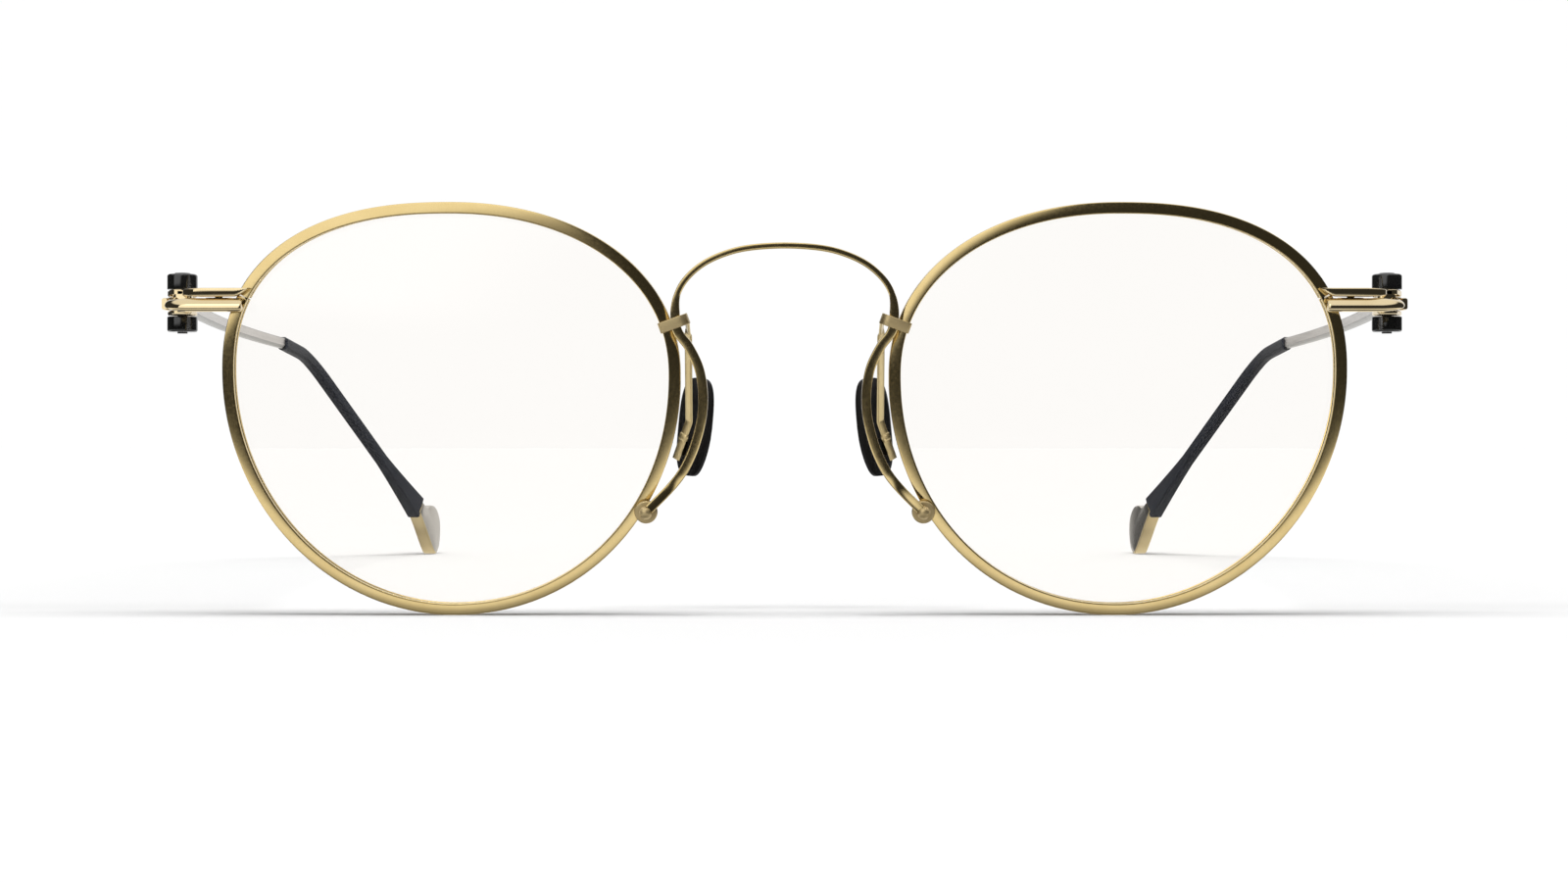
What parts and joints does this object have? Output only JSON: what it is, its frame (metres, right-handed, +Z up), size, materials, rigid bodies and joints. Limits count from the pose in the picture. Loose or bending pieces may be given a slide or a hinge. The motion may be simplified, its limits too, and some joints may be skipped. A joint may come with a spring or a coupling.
{
  "type": "eyeglasses",
  "caption": "Metal eyeglasses with round rims, an arched bridge wire with side loops, nose pads on strip arms and folding temples with dark sleeves.",
  "frame": {"origin": "middle of the box, on the table that the glasses stand on", "axes": "+Z up, +Y from the front towards the temple tips, +X to the wearer's left"},
  "size_m": [0.1424, 0.1508, 0.0443],
  "materials": {
    "satin_gold": "satin antique gold plating",
    "polished_gold": "polished pale gold plating",
    "silver": "satin",
    "dark_steel": "blackened",
    "black_knob": "polished black",
    "black_pad": "soft matt",
    "dark_sleeve": "satin blue-black",
    "clear_lens": "clear, polished"
  },
  "bodies": {
    "front": {"left_rim": "satin_gold", "right_rim": "satin_gold", "left_bridge_strap": "satin_gold", "right_bridge_strap": "satin_gold", "left_upper_closing_block": "satin_gold", "right_upper_closing_block": "satin_gold", "left_lower_closing_block": "satin_gold", "right_lower_closing_block": "satin_gold", "left_pad_box": "satin_gold", "right_pad_box": "satin_gold", "bridge_wire": "satin_gold", "left_wire_rivet": "polished_gold", "right_wire_rivet": "polished_gold", "left_rivet_washer": "polished_gold", "right_rivet_washer": "polished_gold", "left_upper_end_bar": "polished_gold", "right_upper_end_bar": "polished_gold", "left_lower_end_tube": "polished_gold", "right_lower_end_tube": "polished_gold", "left_front_hinge": "polished_gold", "right_front_hinge": "polished_gold", "left_pad_arm": "polished_gold", "right_pad_arm": "polished_gold", "left_closing_screw": "dark_steel", "right_closing_screw": "dark_steel", "left_hinge_screw": "dark_steel", "right_hinge_screw": "dark_steel", "left_pad_screw": "dark_steel", "right_pad_screw": "dark_steel", "left_top_knob": "black_knob", "right_top_knob": "black_knob", "left_bottom_knob": "black_knob", "right_bottom_knob": "black_knob", "left_lens": "clear_lens", "right_lens": "clear_lens"},
    "left_temple": {"left_temple_hinge": "polished_gold", "left_temple_bar": "silver", "left_temple_sleeve": "dark_sleeve", "left_temple_tip": "satin_gold"},
    "left_pad": {"left_nose_pad": "black_pad", "left_pad_mount": "satin_gold"},
    "right_temple": {"right_temple_hinge": "polished_gold", "right_temple_bar": "silver", "right_temple_sleeve": "dark_sleeve", "right_temple_tip": "satin_gold"},
    "right_pad": {"right_nose_pad": "black_pad", "right_pad_mount": "satin_gold"}
  },
  "joints": [
    {"name": "left_temple_fold", "type": "hinge", "parent": "front", "child": "left_temple", "pos_m": [0.067, -0.06203, 0.03395], "axis": [0, 0, 1], "range_deg": [0, 90]},
    {"name": "right_temple_fold", "type": "hinge", "parent": "front", "child": "right_temple", "pos_m": [-0.067, -0.06203, 0.03395], "axis": [0, 0, -1], "range_deg": [0, 82]},
    {"name": "left_pad_rock", "type": "hinge", "parent": "front", "child": "left_pad", "pos_m": [0.01056, -0.06261, 0.01799], "axis": [-0.0895, 0.0373, 0.9953], "range_deg": [-8, 8]},
    {"name": "right_pad_rock", "type": "hinge", "parent": "front", "child": "right_pad", "pos_m": [-0.01056, -0.06261, 0.01799], "axis": [-0.0895, -0.0373, -0.9953], "range_deg": [-8, 8]}
  ]
}
